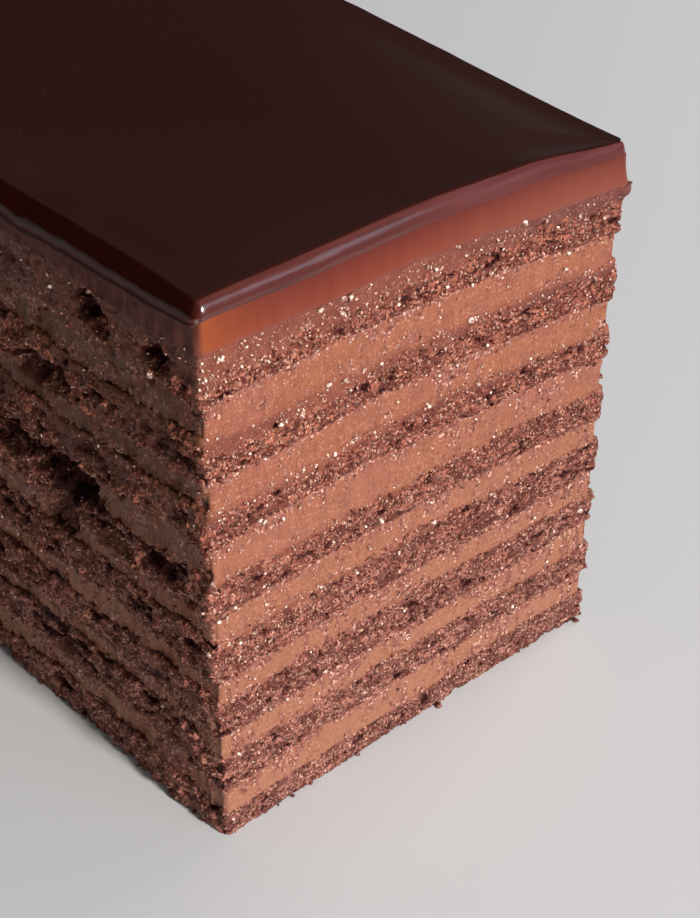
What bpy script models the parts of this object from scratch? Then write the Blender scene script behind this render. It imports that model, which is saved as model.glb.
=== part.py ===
"""A tall block of chocolate layer cake: sponges and creams in turn, ganache and a mirror glaze.

Metres, +Z up. The cut front faces -Y, the long torn side faces -X, and the block stands on z = 0.
Every layer is its own closed slab. Neighbours share the outline of the surface between them and
stand GAP apart, so nothing touches and nothing overlaps.
"""
import math

import bmesh
import bpy
from mathutils import Vector, noise

# Driving dimensions
WIDTH = 0.0731
LENGTH = 0.160
HEIGHT = 0.088
GAP = 0.0003
GLAZE_ROUND = 0.0019
ANCHOR_INSET = 0.012

# How far the lower edge of the ganache hangs out over the top sponge, on each side
SKIRT = {"front": 0.0007, "right": 0.0022, "back": 0.0010, "left": 0.0006}

# How far the crumb stands out from the plain block, on each side
PROUD = {"front": 0.0003, "right": 0.0009, "back": 0.0004, "left": 0.0003}

# The hand-cut front: how far its top corners stand back, and how hollow it is at mid width
TOP_LEFT_BACK = 0.0020
TOP_RIGHT_FORWARD = 0.0013
HOLLOW_LOW = 0.0003
HOLLOW_TOP = 0.0012

# The top sinks towards its front right corner, over this length of the block
SAG = 0.0022
SAG_LENGTH = 0.075

# Steps round the outline; their sum is a multiple of four
FRONT_STEPS = 22
RIGHT_STEPS = 20
BACK_STEPS = 16
LEFT_STEPS = 38

# Height of each layer's top surface, from the bottom layer up, as parts of HEIGHT:
# the front face from left corner to right corner in quarters, then the left side
# at the three distances behind the front corner that LEFT_STATIONS gives.
LEFT_STATIONS = (0.013, 0.026, 0.038)
LAYER_TOPS = {
    "sponge_1": (0.045, 0.045, 0.041, 0.056, 0.058, 0.062, 0.062, 0.065),
    "cream_1": (0.095, 0.104, 0.104, 0.104, 0.109, 0.118, 0.118, 0.124),
    "sponge_2": (0.168, 0.165, 0.165, 0.161, 0.167, 0.190, 0.184, 0.189),
    "cream_2": (0.210, 0.212, 0.210, 0.212, 0.222, 0.222, 0.219, 0.229),
    "sponge_3": (0.278, 0.281, 0.278, 0.278, 0.282, 0.284, 0.279, 0.284),
    "cream_3": (0.322, 0.325, 0.322, 0.323, 0.331, 0.332, 0.339, 0.328),
    "sponge_4": (0.398, 0.400, 0.402, 0.396, 0.394, 0.394, 0.399, 0.393),
    "cream_4": (0.445, 0.451, 0.451, 0.448, 0.440, 0.439, 0.453, 0.448),
    "sponge_5": (0.518, 0.512, 0.511, 0.508, 0.504, 0.499, 0.503, 0.507),
    "cream_5": (0.575, 0.587, 0.585, 0.574, 0.567, 0.581, 0.566, 0.552),
    "sponge_6": (0.643, 0.638, 0.646, 0.632, 0.625, 0.637, 0.630, 0.632),
    "cream_6": (0.692, 0.695, 0.698, 0.690, 0.684, 0.699, 0.683, 0.681),
    "sponge_7": (0.768, 0.765, 0.766, 0.761, 0.752, 0.761, 0.752, 0.764),
    "cream_7": (0.827, 0.832, 0.827, 0.821, 0.808, 0.831, 0.837, 0.831),
    "sponge_8": (0.914, 0.906, 0.907, 0.896, 0.891, 0.906, 0.915, 0.917),
    "ganache": (0.968, 0.959, 0.962, 0.958, 0.949, 0.956, 0.952, 0.945),
    "glaze": (0.997, 0.993, 0.996, 0.990, 0.971, 0.998, 0.996, 0.992),
}
LAYERS = tuple(LAYER_TOPS)
SURFACES = tuple(LAYER_TOPS.values())
TOP = len(SURFACES) - 1
GLAZE_FOOT = TOP - 1
GANACHE_FOOT = TOP - 2

# Torn places on the left side: distance behind the front corner, height, half length, half height, depth
TEARS = (
    (0.0225, 0.0765, 0.0035, 0.0025, 0.0030),
    (0.0095, 0.0765, 0.0030, 0.0018, 0.0018),
    (0.0370, 0.0615, 0.0060, 0.0024, 0.0030),
    (0.0325, 0.0455, 0.0075, 0.0034, 0.0042),
    (0.0460, 0.0460, 0.0060, 0.0030, 0.0030),
    (0.0350, 0.0385, 0.0040, 0.0030, 0.0026),
    (0.0230, 0.0405, 0.0060, 0.0016, 0.0018),
    (0.0110, 0.0425, 0.0050, 0.0014, 0.0016),
    (0.0360, 0.0120, 0.0035, 0.0018, 0.0020),
    (0.0610, 0.0690, 0.0070, 0.0026, 0.0028),
    (0.0720, 0.0400, 0.0090, 0.0030, 0.0034),
    (0.0950, 0.0560, 0.0080, 0.0026, 0.0026),
    (0.1060, 0.0260, 0.0070, 0.0024, 0.0026),
    (0.1300, 0.0700, 0.0060, 0.0024, 0.0024),
    (0.1380, 0.0440, 0.0090, 0.0028, 0.0030),
)

COLOURS = {
    "sponge": ((0.150, 0.052, 0.036), 0.85),
    "cream": ((0.420, 0.175, 0.098), 0.50),
    "ganache": ((0.300, 0.095, 0.050), 0.35),
    "glaze": ((0.016, 0.005, 0.004), 0.06),
}


def smooth(part):
    """Ease from 0 to 1."""
    part = min(max(part, 0), 1)
    return part * part * (3 - 2 * part)


def outline():
    """Points of the outline, anticlockwise from the front left corner: x, y and outward direction."""
    points = []
    for step in range(FRONT_STEPS):
        points.append((step / FRONT_STEPS * WIDTH - WIDTH / 2, -LENGTH / 2, 0, -1))
    for step in range(RIGHT_STEPS):
        points.append((WIDTH / 2, (step / RIGHT_STEPS) ** 1.1 * LENGTH - LENGTH / 2, 1, 0))
    for step in range(BACK_STEPS):
        points.append((WIDTH / 2 - step / BACK_STEPS * WIDTH, LENGTH / 2, 0, 1))
    for step in range(LEFT_STEPS):
        behind = LENGTH * (1 - step / LEFT_STEPS) ** 1.2
        points.append((-WIDTH / 2, behind - LENGTH / 2, -1, 0))
    for corner in (0, FRONT_STEPS, FRONT_STEPS + RIGHT_STEPS, FRONT_STEPS + RIGHT_STEPS + BACK_STEPS):
        x, y = points[corner][:2]
        points[corner] = (x, y, math.copysign(1, x), math.copysign(1, y))
    return points


def distance_round(x, y):
    """Distance along the outline from the front left corner, anticlockwise."""
    if y <= -LENGTH / 2 + 1e-9:
        return x + WIDTH / 2
    if x >= WIDTH / 2 - 1e-9:
        return WIDTH + y + LENGTH / 2
    if y >= LENGTH / 2 - 1e-9:
        return WIDTH + LENGTH + WIDTH / 2 - x
    return 2 * WIDTH + 2 * LENGTH - (y + LENGTH / 2)


def stations(surface):
    """Heights of one surface round the outline: the given ones, then a calm run round the far sides."""
    given = SURFACES[surface]
    mean = 0.995 if surface == TOP else sum(given) / len(given)
    swing = 0.003 if surface == TOP else 0.010
    whole = 2 * (WIDTH + LENGTH)
    found = [(WIDTH * quarter / 4, given[quarter]) for quarter in range(5)]
    for number, place in enumerate((0.070, 0.110, 0.150, 0.185, 0.215, 0.262, 0.300, 0.340)):
        wander = swing * noise.noise(Vector((surface * 1.7 + 0.3, number * 2.3 + 0.6, 0.5)))
        found.append((WIDTH + place, mean + wander))
    for number in (2, 1, 0):
        found.append((whole - LEFT_STATIONS[number], given[5 + number]))
    found.append((whole, given[0]))
    return found


def surface_height(surface, x, y):
    """Height of a surface between layers at one point of the outline."""
    if surface < 0:
        return 0.0
    place = distance_round(x, y)
    found = STATIONS[surface]
    for (start, low), (end, high) in zip(found, found[1:]):
        if place <= end:
            part = low + (high - low) * smooth((place - start) / (end - start))
            break
    ripple = noise.noise(Vector((x * 170 + surface * 5.1, y * 170, surface * 3.7)))
    size = 0.0001 if surface >= GLAZE_FOOT else 0.0004
    return part * HEIGHT + ripple * size


def calm_height(surface, x, y):
    """Height of a surface in the middle of the block: level, but for the sinking corner of the top."""
    if surface < 0:
        return 0.0
    if surface < TOP:
        return sum(SURFACES[surface]) / len(SURFACES[surface]) * HEIGHT
    across = max(2 * x / WIDTH, 0) ** 2.3
    along = smooth(1 - (y + LENGTH / 2) / SAG_LENGTH)
    return 0.996 * HEIGHT - SAG * across * along


def tear_depth(y, z):
    """How deep the torn places on the left side go at one point."""
    depth = 0.0
    for behind, height, length, tall, deep in TEARS:
        across = (y + LENGTH / 2 - behind) / length
        up = (z - height) / tall
        reach = across * across + up * up
        if reach < 1:
            depth = max(depth, deep * (1 - reach) ** 0.5)
    return depth


def relief(kind, side, x, y, z):
    """Outward relief of a wall: crumb stands proud of the cream and is more ragged than it."""
    spot = Vector((x, y, z * 1.6))
    coarse = noise.noise(spot * 150 + Vector((3.1, 7.7, 1.3)))
    fine = noise.noise(spot * 420 + Vector((9.2, 2.4, 5.8)))
    torn = 1.7 if side == "left" else 1.0
    if kind == "sponge":
        return PROUD[side] + torn * (0.0006 * coarse + 0.0007 * fine)
    if kind == "cream":
        return -0.0004 + torn * (0.0003 * coarse + 0.0002 * fine)
    return 0.00012 * coarse


def cut_front(point):
    """Lean, twist and hollow of the front cut, fading out towards the back."""
    x, y, z = point
    part = min(max(x / WIDTH + 0.5, 0), 1)
    up = z / HEIGHT
    lean = up * (TOP_LEFT_BACK * (1 - part) - TOP_RIGHT_FORWARD * part)
    hollow = (HOLLOW_LOW + (HOLLOW_TOP - HOLLOW_LOW) * up) * 4 * part * (1 - part)
    fade = min(max(0.5 - y / LENGTH, 0), 1)
    return Vector((x, y + (lean + hollow) * fade, z))


def skirt_at(side, x, y):
    """How far the foot of the ganache hangs out."""
    return SKIRT[side] + 0.0002 * noise.noise(Vector((x, y, 0)) * 260)


def side_offset(layer, row, rows, side, spot):
    """Outward offset of a wall point on one side. Rows shared by two layers agree in both."""
    x, y, z = spot
    kind = LAYERS[layer].split("_")[0]
    torn = tear_depth(y, z) if side == "left" else 0.0
    surface = {0: layer - 1, rows: layer}.get(row)
    if surface == GANACHE_FOOT:
        return skirt_at(side, x, y)
    if surface is not None and surface >= GLAZE_FOOT:
        return 0.0001
    if surface is not None:
        return PROUD[side] / 2 + 0.0004 * noise.noise(Vector((x, y, surface * 0.013)) * 240) - torn
    if kind == "ganache":
        return skirt_at(side, x, y) * (1 - row / rows) ** 2 + relief(kind, side, x, y, z)
    if layer == GANACHE_FOOT and row == rows - 1:
        return skirt_at(side, x, y) * 0.9 + relief(kind, side, x, y, z) / 2 - torn
    return relief(kind, side, x, y, z) - torn


def offsets(layer, row, rows, place, z):
    """Offset along x and along y of a wall point; a corner takes part in both of its sides."""
    x, y, out_x, out_y = OUTLINE[place]
    move_x = 0.0
    move_y = 0.0
    if out_x:
        side = "right" if out_x > 0 else "left"
        move_x = out_x * side_offset(layer, row, rows, side, (x, y, z))
    if out_y:
        side = "back" if out_y > 0 else "front"
        move_y = out_y * side_offset(layer, row, rows, side, (x, y, z))
    return move_x, move_y


def wall_point(layer, place, row, rows):
    """One point of a slab's wall, on the outline step `place` and the given row."""
    x, y = OUTLINE[place][:2]
    low = surface_height(layer - 1, x, y) + (GAP / 2 if layer else 0)
    high = surface_height(layer, x, y) - GAP / 2
    z = low + (high - low) * row / rows
    middle = z
    if row in (0, rows) and 0 <= layer - 1 + row // rows:
        middle = surface_height(layer - 1 + row // rows, x, y)
    move_x, move_y = offsets(layer, row, rows, place, middle)
    moved = cut_front((x + move_x, y + move_y, middle))
    return Vector((moved.x, moved.y, z))


def glaze_point(place, row, rows):
    """One point of the glaze's wall: a short upright band, then a round shoulder."""
    x, y, out_x, out_y = OUTLINE[place]
    foot = surface_height(GLAZE_FOOT, x, y)
    high = surface_height(TOP, x, y)
    if row == 0:
        moved = cut_front((x + out_x * 0.0001, y + out_y * 0.0001, foot))
        return Vector((moved.x, moved.y, foot + GAP / 2))
    turn = (row - 1) / (rows - 1) * math.pi / 2
    inset = GLAZE_ROUND * (1 - math.cos(turn)) - 0.0004
    z = high - GLAZE_ROUND * (1 - math.sin(turn))
    return cut_front((x - out_x * inset, y - out_y * inset, z))


def anchors():
    """Points well inside the block that the caps of every slab run to."""
    far_x = WIDTH / 2 - ANCHOR_INSET
    far_y = LENGTH / 2 - ANCHOR_INSET
    found = [(0, -far_y), (0, far_y)]
    for part in (-1, -0.33, 0.33, 1):
        found.append((-far_x, part * far_y))
        found.append((far_x, part * far_y))
    return found


def cap_point(layer, place, row, inner_points):
    """The inner point that a cap runs to from one step of the outline."""
    near = min(inner_points, key=lambda point: math.dist(point, OUTLINE[place][:2]))
    surface = layer - 1 if row == 0 else layer
    z = calm_height(surface, *near)
    if 0 <= surface < TOP:
        z += GAP / 2 if row == 0 else -GAP / 2
    return Vector((near[0], near[1], z))


def ring_place(co):
    """Outline step that a point of the round starting shape stands for."""
    turn = math.atan2(co.y, co.x) / (2 * math.pi)
    return round(turn * len(OUTLINE)) % len(OUTLINE)


def slab(layer):
    """A closed slab, made from a round disc whose points are moved to the block's outline."""
    rows = {"glaze": 5, "cream": 2}.get(LAYERS[layer].split("_")[0], 3)
    mesh = bmesh.new()
    bmesh.ops.create_cone(
        mesh, cap_ends=True, segments=len(OUTLINE), radius1=1, radius2=1, depth=rows,
    )
    for row in range(1, rows):
        bmesh.ops.bisect_plane(
            mesh, geom=mesh.verts[:] + mesh.edges[:] + mesh.faces[:],
            plane_co=(0, 0, row - rows / 2), plane_no=(0, 0, 1),
        )
    caps = [face for face in mesh.faces if len(face.verts) > 4]
    bmesh.ops.inset_individual(mesh, faces=caps, thickness=0.3)
    inner_points = anchors()
    for vert in mesh.verts:
        place = ring_place(vert.co)
        row = round(vert.co.z + rows / 2)
        if vert.co.xy.length < 0.9:
            vert.co = cap_point(layer, place, row, inner_points)
        elif layer == TOP:
            vert.co = glaze_point(place, row, rows)
        else:
            vert.co = wall_point(layer, place, row, rows)
    bmesh.ops.remove_doubles(mesh, verts=mesh.verts[:], dist=0.00001)
    bmesh.ops.triangulate(mesh, faces=mesh.faces[:], quad_method="SHORT_EDGE")
    return mesh


def material(kind):
    """Plain material of one kind of layer."""
    made = bpy.data.materials.new("cake_" + kind)
    made.use_nodes = True
    shader = made.node_tree.nodes["Principled BSDF"]
    colour, rough = COLOURS[kind]
    shader.inputs["Base Color"].default_value = (*colour, 1)
    shader.inputs["Roughness"].default_value = rough
    shader.inputs["Metallic"].default_value = 0.0
    made.diffuse_color = (*colour, 1)
    return made


def centre(objects):
    """Move the block so that the middle of its bounding box stands over the origin."""
    points = [vert.co for obj in objects for vert in obj.data.vertices]
    middle_x = (min(co.x for co in points) + max(co.x for co in points)) / 2
    middle_y = (min(co.y for co in points) + max(co.y for co in points)) / 2
    for co in points:
        co.x -= middle_x
        co.y -= middle_y


def main():
    for old in list(bpy.data.objects):
        bpy.data.objects.remove(old, do_unlink=True)
    group = bpy.data.collections.new("opera_cake")
    bpy.context.scene.collection.children.link(group)
    materials = {kind: material(kind) for kind in COLOURS}
    objects = []
    for layer, name in enumerate(LAYERS):
        body = slab(layer)
        mesh = bpy.data.meshes.new(name)
        body.to_mesh(mesh)
        body.free()
        mesh.materials.append(materials[name.split("_")[0]])
        obj = bpy.data.objects.new(name, mesh)
        group.objects.link(obj)
        objects.append(obj)
    centre(objects)


STATIONS = [stations(surface) for surface in range(len(SURFACES))]
OUTLINE = outline()
main()
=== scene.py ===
"""Looks of the chocolate layer cake block: crumb, cream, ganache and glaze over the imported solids."""
import math

import bmesh
import bpy
import numpy as np
from mathutils import Matrix, Vector, noise


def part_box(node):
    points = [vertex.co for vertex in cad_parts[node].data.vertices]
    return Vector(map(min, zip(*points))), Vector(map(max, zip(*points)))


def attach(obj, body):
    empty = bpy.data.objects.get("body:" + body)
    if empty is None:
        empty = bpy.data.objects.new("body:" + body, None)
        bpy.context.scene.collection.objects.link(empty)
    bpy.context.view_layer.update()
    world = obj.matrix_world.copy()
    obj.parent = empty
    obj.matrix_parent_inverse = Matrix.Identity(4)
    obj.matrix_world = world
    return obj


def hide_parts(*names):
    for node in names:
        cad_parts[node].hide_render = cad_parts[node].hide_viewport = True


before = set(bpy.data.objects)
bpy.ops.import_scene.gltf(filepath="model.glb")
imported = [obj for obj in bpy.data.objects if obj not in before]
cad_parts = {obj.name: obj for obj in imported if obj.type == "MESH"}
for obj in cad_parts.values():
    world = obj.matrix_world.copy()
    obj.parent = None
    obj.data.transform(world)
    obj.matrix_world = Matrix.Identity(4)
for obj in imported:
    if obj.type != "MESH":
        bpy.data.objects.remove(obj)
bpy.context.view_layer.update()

MM = 0.001

# Driving dimensions of the block, as in the solids
WIDTH = 0.0731
LENGTH = 0.160
HEIGHT = 0.088
GLAZE_PROUD = 0.0004
TOP_LEFT_BACK = 0.0020
TOP_RIGHT_FORWARD = 0.0013
HOLLOW_LOW = 0.0003
HOLLOW_TOP = 0.0012
SAG = 0.0022
SAG_LENGTH = 0.075
LEFT_STATIONS = (0.013, 0.026, 0.038)
LAYER_TOPS = {
    "sponge_1": (0.045, 0.045, 0.041, 0.056, 0.058, 0.062, 0.062, 0.065),
    "cream_1": (0.095, 0.104, 0.104, 0.104, 0.109, 0.118, 0.118, 0.124),
    "sponge_2": (0.168, 0.165, 0.165, 0.161, 0.167, 0.190, 0.184, 0.189),
    "cream_2": (0.210, 0.212, 0.210, 0.212, 0.222, 0.222, 0.219, 0.229),
    "sponge_3": (0.278, 0.281, 0.278, 0.278, 0.282, 0.284, 0.279, 0.284),
    "cream_3": (0.322, 0.325, 0.322, 0.323, 0.331, 0.332, 0.339, 0.328),
    "sponge_4": (0.398, 0.400, 0.402, 0.396, 0.394, 0.394, 0.399, 0.393),
    "cream_4": (0.445, 0.451, 0.451, 0.448, 0.440, 0.439, 0.453, 0.448),
    "sponge_5": (0.518, 0.512, 0.511, 0.508, 0.504, 0.499, 0.503, 0.507),
    "cream_5": (0.575, 0.587, 0.585, 0.574, 0.567, 0.581, 0.566, 0.552),
    "sponge_6": (0.643, 0.638, 0.646, 0.632, 0.625, 0.637, 0.630, 0.632),
    "cream_6": (0.692, 0.695, 0.698, 0.690, 0.684, 0.699, 0.683, 0.681),
    "sponge_7": (0.768, 0.765, 0.766, 0.761, 0.752, 0.761, 0.752, 0.764),
    "cream_7": (0.827, 0.832, 0.827, 0.821, 0.808, 0.831, 0.837, 0.831),
    "sponge_8": (0.914, 0.906, 0.907, 0.896, 0.891, 0.906, 0.915, 0.917),
    "ganache": (0.968, 0.959, 0.962, 0.958, 0.949, 0.956, 0.952, 0.945),
    "glaze": (0.997, 0.993, 0.996, 0.990, 0.971, 0.998, 0.996, 0.992),
}
LAYERS = tuple(LAYER_TOPS)
SURFACES = tuple(LAYER_TOPS.values())
TOP = len(SURFACES) - 1

# Torn places on the left side: distance behind the front corner, height, half length, half height, depth
TEARS = (
    (0.0225, 0.0765, 0.0035, 0.0025, 0.0030),
    (0.0095, 0.0765, 0.0030, 0.0018, 0.0018),
    (0.0370, 0.0615, 0.0060, 0.0024, 0.0030),
    (0.0325, 0.0455, 0.0075, 0.0034, 0.0042),
    (0.0460, 0.0460, 0.0060, 0.0030, 0.0030),
    (0.0350, 0.0385, 0.0040, 0.0030, 0.0026),
    (0.0230, 0.0405, 0.0060, 0.0016, 0.0018),
    (0.0110, 0.0425, 0.0050, 0.0014, 0.0016),
    (0.0360, 0.0120, 0.0035, 0.0018, 0.0020),
    (0.0610, 0.0690, 0.0070, 0.0026, 0.0028),
    (0.0720, 0.0400, 0.0090, 0.0030, 0.0034),
    (0.0950, 0.0560, 0.0080, 0.0026, 0.0026),
    (0.1060, 0.0260, 0.0070, 0.0024, 0.0026),
    (0.1300, 0.0700, 0.0060, 0.0024, 0.0024),
    (0.1380, 0.0440, 0.0090, 0.0028, 0.0030),
)

# Small unevenness of each layer's top, in metres
GLAZE_RIPPLE = 0.00003
GANACHE_RIPPLE = 0.0001
LAYER_RIPPLE = 0.0004

# How far the glaze comes down over the ganache on the torn side, in millimetres
GLAZE_DRAPE = 1.3

# How many small things of each kind
DROPLETS = 540
GLINTS = 4000
WALL_CRUMBS = 1000
FOOT_CRUMBS = 120

FLOOR_HALF = 3.0

# Camera, fitted to the block's edges in a 700 x 918 frame
FRAME_TALL = 918
FOCAL_PIXELS = 2158.1
CAMERA_FROM_CORNER = (-1.5284 * HEIGHT, -1.9485 * HEIGHT, 2.5432 * HEIGHT)
CAMERA_RIGHT = (0.73931, -0.67333, 0.0066)
CAMERA_DOWN = (-0.39107, -0.43732, -0.80982)
CAMERA_AHEAD = (0.54817, 0.59613, -0.58664)


def block_origin():
    """Where the middle of the plain block stands: the glaze is even on both sides and at the back."""
    low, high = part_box("glaze")
    return Vector(((low[0] + high[0]) / 2, high[1] - GLAZE_PROUD - LENGTH / 2, 0))


ORIGIN = block_origin()


def smooth(part):
    """Ease from 0 to 1."""
    part = np.clip(part, 0, 1)
    return part * part * (3 - 2 * part)


# Noise

CORNER_STEPS = [(i, j, k) for i in (0, 1) for j in (0, 1) for k in (0, 1)]
NEAR_CELLS = [(i, j, k) for i in (-1, 0, 1) for j in (-1, 0, 1) for k in (-1, 0, 1)]


def hashed(cell, seed):
    """A repeatable number from 0 to 1 for each whole-numbered point."""
    value = cell[:, 0] * 374761393 + cell[:, 1] * 668265263 + cell[:, 2] * 1103515245 + seed * 974711
    value = value & 0xFFFFFFFF
    value = ((value ^ (value >> 15)) * 1274126177) & 0xFFFFFFFF
    value = ((value ^ (value >> 13)) * 1103515245) & 0xFFFFFFFF
    return (value ^ (value >> 16)) / 4294967296


def waves(points, seed=0):
    """Soft gradient noise, about -1 to 1."""
    cell = np.floor(points).astype(np.int64)
    inside = points - cell
    ease = inside ** 3 * (inside * (inside * 6 - 15) + 10)
    total = np.zeros(len(points))
    for step in CORNER_STEPS:
        corner = cell + step
        turn = hashed(corner, seed) * 2 * math.pi
        level = hashed(corner, seed + 7) * 2 - 1
        flat = np.sqrt(1 - level * level)
        away = inside - step
        slope = away[:, 0] * flat * np.cos(turn) + away[:, 1] * flat * np.sin(turn) + away[:, 2] * level
        share = np.where(step, ease, 1 - ease).prod(axis=1)
        total += slope * share
    return total * 1.6


def layered(points, seed, octaves):
    """Waves with finer waves on top."""
    total = np.zeros(len(points))
    for octave in range(octaves):
        total += waves(points * 2 ** octave + octave * 17.3, seed + octave) / 2 ** octave
    return total


def grains(points, seed=0):
    """Distance to the nearest of scattered grain centres, and a number for that grain."""
    cell = np.floor(points).astype(np.int64)
    nearest = np.full(len(points), 9.0)
    number = np.zeros(len(points))
    for step in NEAR_CELLS:
        near = cell + step
        centre = near + np.stack([hashed(near, seed + k) for k in (1, 2, 3)], axis=1)
        distance = np.linalg.norm(points - centre, axis=1)
        closer = distance < nearest
        nearest = np.where(closer, distance, nearest)
        number = np.where(closer, hashed(near, seed + 4), number)
    return nearest, number


def pores(points, share, seed):
    """Depth from 0 to 1 of round hollows of mixed size, in that share of the cells."""
    distance, number = grains(points, seed)
    radius = 0.16 + 0.42 * number / share
    depth = 1 - (distance / radius) ** 2
    return np.where(number < share, np.clip(depth, 0, 1), 0) ** 0.8


# Outline of the block, as a ring of points with rounded corners


def side_parts(length, pitch):
    """Even parts along a straight side, from 0 up to but not at its end."""
    count = max(2, round(length / pitch))
    return np.arange(count) / count


def stepped(length, near, near_pitch, far_pitch):
    """Parts of a side: fine steps over its near stretch, then coarse ones."""
    split = near / length
    fine = side_parts(near, near_pitch) * split
    return np.concatenate([fine, split + side_parts(length - near, far_pitch) * (1 - split)])


def ring(fine, coarse, corner):
    """A ring anticlockwise from the front left corner: side, part of it, heading and corner radius."""
    wide = WIDTH - 2 * corner
    long = LENGTH - 2 * corner
    steps = (
        side_parts(wide, fine), stepped(long, 0.012, fine * 1.4, coarse),
        side_parts(wide, coarse), 1 - stepped(long, 0.078, fine * 1.25, coarse)[::-1],
    )
    turns = np.arange(6) / 6
    found = []
    for side, parts in enumerate(steps):
        parts = parts - parts[0]
        straight = np.stack([np.full(len(parts), side), parts, np.full(len(parts), side)], axis=1)
        bend = np.stack([np.full(6, side), np.ones(6), side + turns], axis=1)
        found += [straight, bend]
    whole = np.concatenate(found)
    return {"side": whole[:, 0].astype(int), "part": whole[:, 1], "heading": whole[:, 2], "corner": corner}


def ring_at(shape, inset=0.0):
    """x, y and outward direction of a ring's points, drawn in from the outline by a distance."""
    inset = np.broadcast_to(inset, shape["part"].shape)
    radius = np.maximum(shape["corner"] - inset, 0.00008)
    half_x = WIDTH / 2 - inset - radius
    half_y = LENGTH / 2 - inset - radius
    signs = np.array(((-1, -1), (1, -1), (1, 1), (-1, 1)))
    half = np.stack([half_x, half_y], axis=1)
    first = signs[shape["side"]] * half
    second = signs[(shape["side"] + 1) % 4] * half
    angle = (shape["heading"] - 1) * math.pi / 2
    out = np.stack([np.cos(angle), np.sin(angle)], axis=1)
    return np.hstack([first + (second - first) * shape["part"][:, None] + out * radius[:, None], out])


def distance_round(x, y):
    """Distance along the outline from the front left corner, anticlockwise."""
    across = np.clip(x + WIDTH / 2, 0, WIDTH)
    along = np.clip(y + LENGTH / 2, 0, LENGTH)
    edges = np.stack([along, WIDTH - across, LENGTH - along, across])
    side = np.argmin(edges, axis=0)
    rounds = (across, WIDTH + along, 2 * WIDTH + LENGTH - across, 2 * WIDTH + 2 * LENGTH - along)
    return np.choose(side, rounds)


def stations(surface):
    """Heights of one surface round the outline: the given ones, then a calm run round the far sides."""
    given = SURFACES[surface]
    mean = 0.995 if surface == TOP else sum(given) / len(given)
    swing = 0.003 if surface == TOP else 0.010
    whole = 2 * (WIDTH + LENGTH)
    found = [(WIDTH * quarter / 4, given[quarter]) for quarter in range(5)]
    for number, place in enumerate((0.070, 0.110, 0.150, 0.185, 0.215, 0.262, 0.300, 0.340)):
        wander = swing * noise.noise(Vector((surface * 1.7 + 0.3, number * 2.3 + 0.6, 0.5)))
        found.append((WIDTH + place, mean + wander))
    for number in (2, 1, 0):
        found.append((whole - LEFT_STATIONS[number], given[5 + number]))
    found.append((whole, given[0]))
    return np.array(found)


def surface_height(surface, x, y):
    """Height of a surface between layers along the outline."""
    if surface < 0:
        return np.zeros(len(x))
    found = stations(surface)
    place = distance_round(x, y)
    index = np.clip(np.searchsorted(found[:, 0], place), 1, len(found) - 1)
    start = found[index - 1]
    end = found[index]
    part = smooth((place - start[:, 0]) / (end[:, 0] - start[:, 0]))
    size = {TOP: GLAZE_RIPPLE, TOP - 1: GANACHE_RIPPLE}.get(surface, LAYER_RIPPLE)
    spots = np.stack([x * 170 + surface * 5.1, y * 170, np.full(len(x), surface * 3.7)], axis=1)
    ripple = np.array([noise.noise(Vector(spot)) for spot in spots])
    return (start[:, 1] + (end[:, 1] - start[:, 1]) * part) * HEIGHT + ripple * size


def cut_front(points):
    """Lean, twist and hollow of the front cut, fading out towards the back."""
    x, y, z = points[..., 0], points[..., 1], points[..., 2]
    part = np.clip(x / WIDTH + 0.5, 0, 1)
    up = z / HEIGHT
    lean = up * (TOP_LEFT_BACK * (1 - part) - TOP_RIGHT_FORWARD * part)
    hollow = (HOLLOW_LOW + (HOLLOW_TOP - HOLLOW_LOW) * up) * 4 * part * (1 - part)
    fade = np.clip(0.5 - y / LENGTH, 0, 1)
    return np.stack([x, y + (lean + hollow) * fade, z], axis=-1)


def weights(outline):
    """How much each ring point belongs to the front, right, back and left side."""
    out_x, out_y = outline[:, 2], outline[:, 3]
    return (
        np.clip(-out_y, 0, 1) ** 2, np.clip(out_x, 0, 1) ** 2,
        np.clip(out_y, 0, 1) ** 2, np.clip(-out_x, 0, 1) ** 2,
    )


def tear_depth(y, z, spots):
    """How deep the torn places on the left side go, with ragged rims."""
    ragged = 0.55 * waves(spots / 2.2, 71) + 0.3 * waves(spots / 0.9, 72)
    depth = np.zeros(len(y))
    for behind, height, length, tall, deep in TEARS:
        across = (y + LENGTH / 2 - behind) / (length * 1.25)
        up = (z - height) / (tall * 1.3)
        reach = across * across + up * up + ragged
        depth = np.maximum(depth, deep * smooth(1.1 - reach))
    return depth


# Walls: rows of points round the block, one ring of points for each row


def body_of(name, points, loops, starts):
    """A new object from block points, the corners of its faces and where each face starts."""
    mesh = bpy.data.meshes.new(name)
    mesh.vertices.add(len(points))
    mesh.vertices.foreach_set("co", (points + np.array(ORIGIN)).astype(np.float32).ravel())
    mesh.loops.add(len(loops))
    mesh.loops.foreach_set("vertex_index", loops.astype(np.int32))
    mesh.polygons.add(len(starts))
    mesh.polygons.foreach_set("loop_start", starts.astype(np.int32))
    mesh.update(calc_edges=True)
    body = bpy.data.objects.new(name, mesh)
    bpy.context.scene.collection.objects.link(body)
    return body


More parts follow.
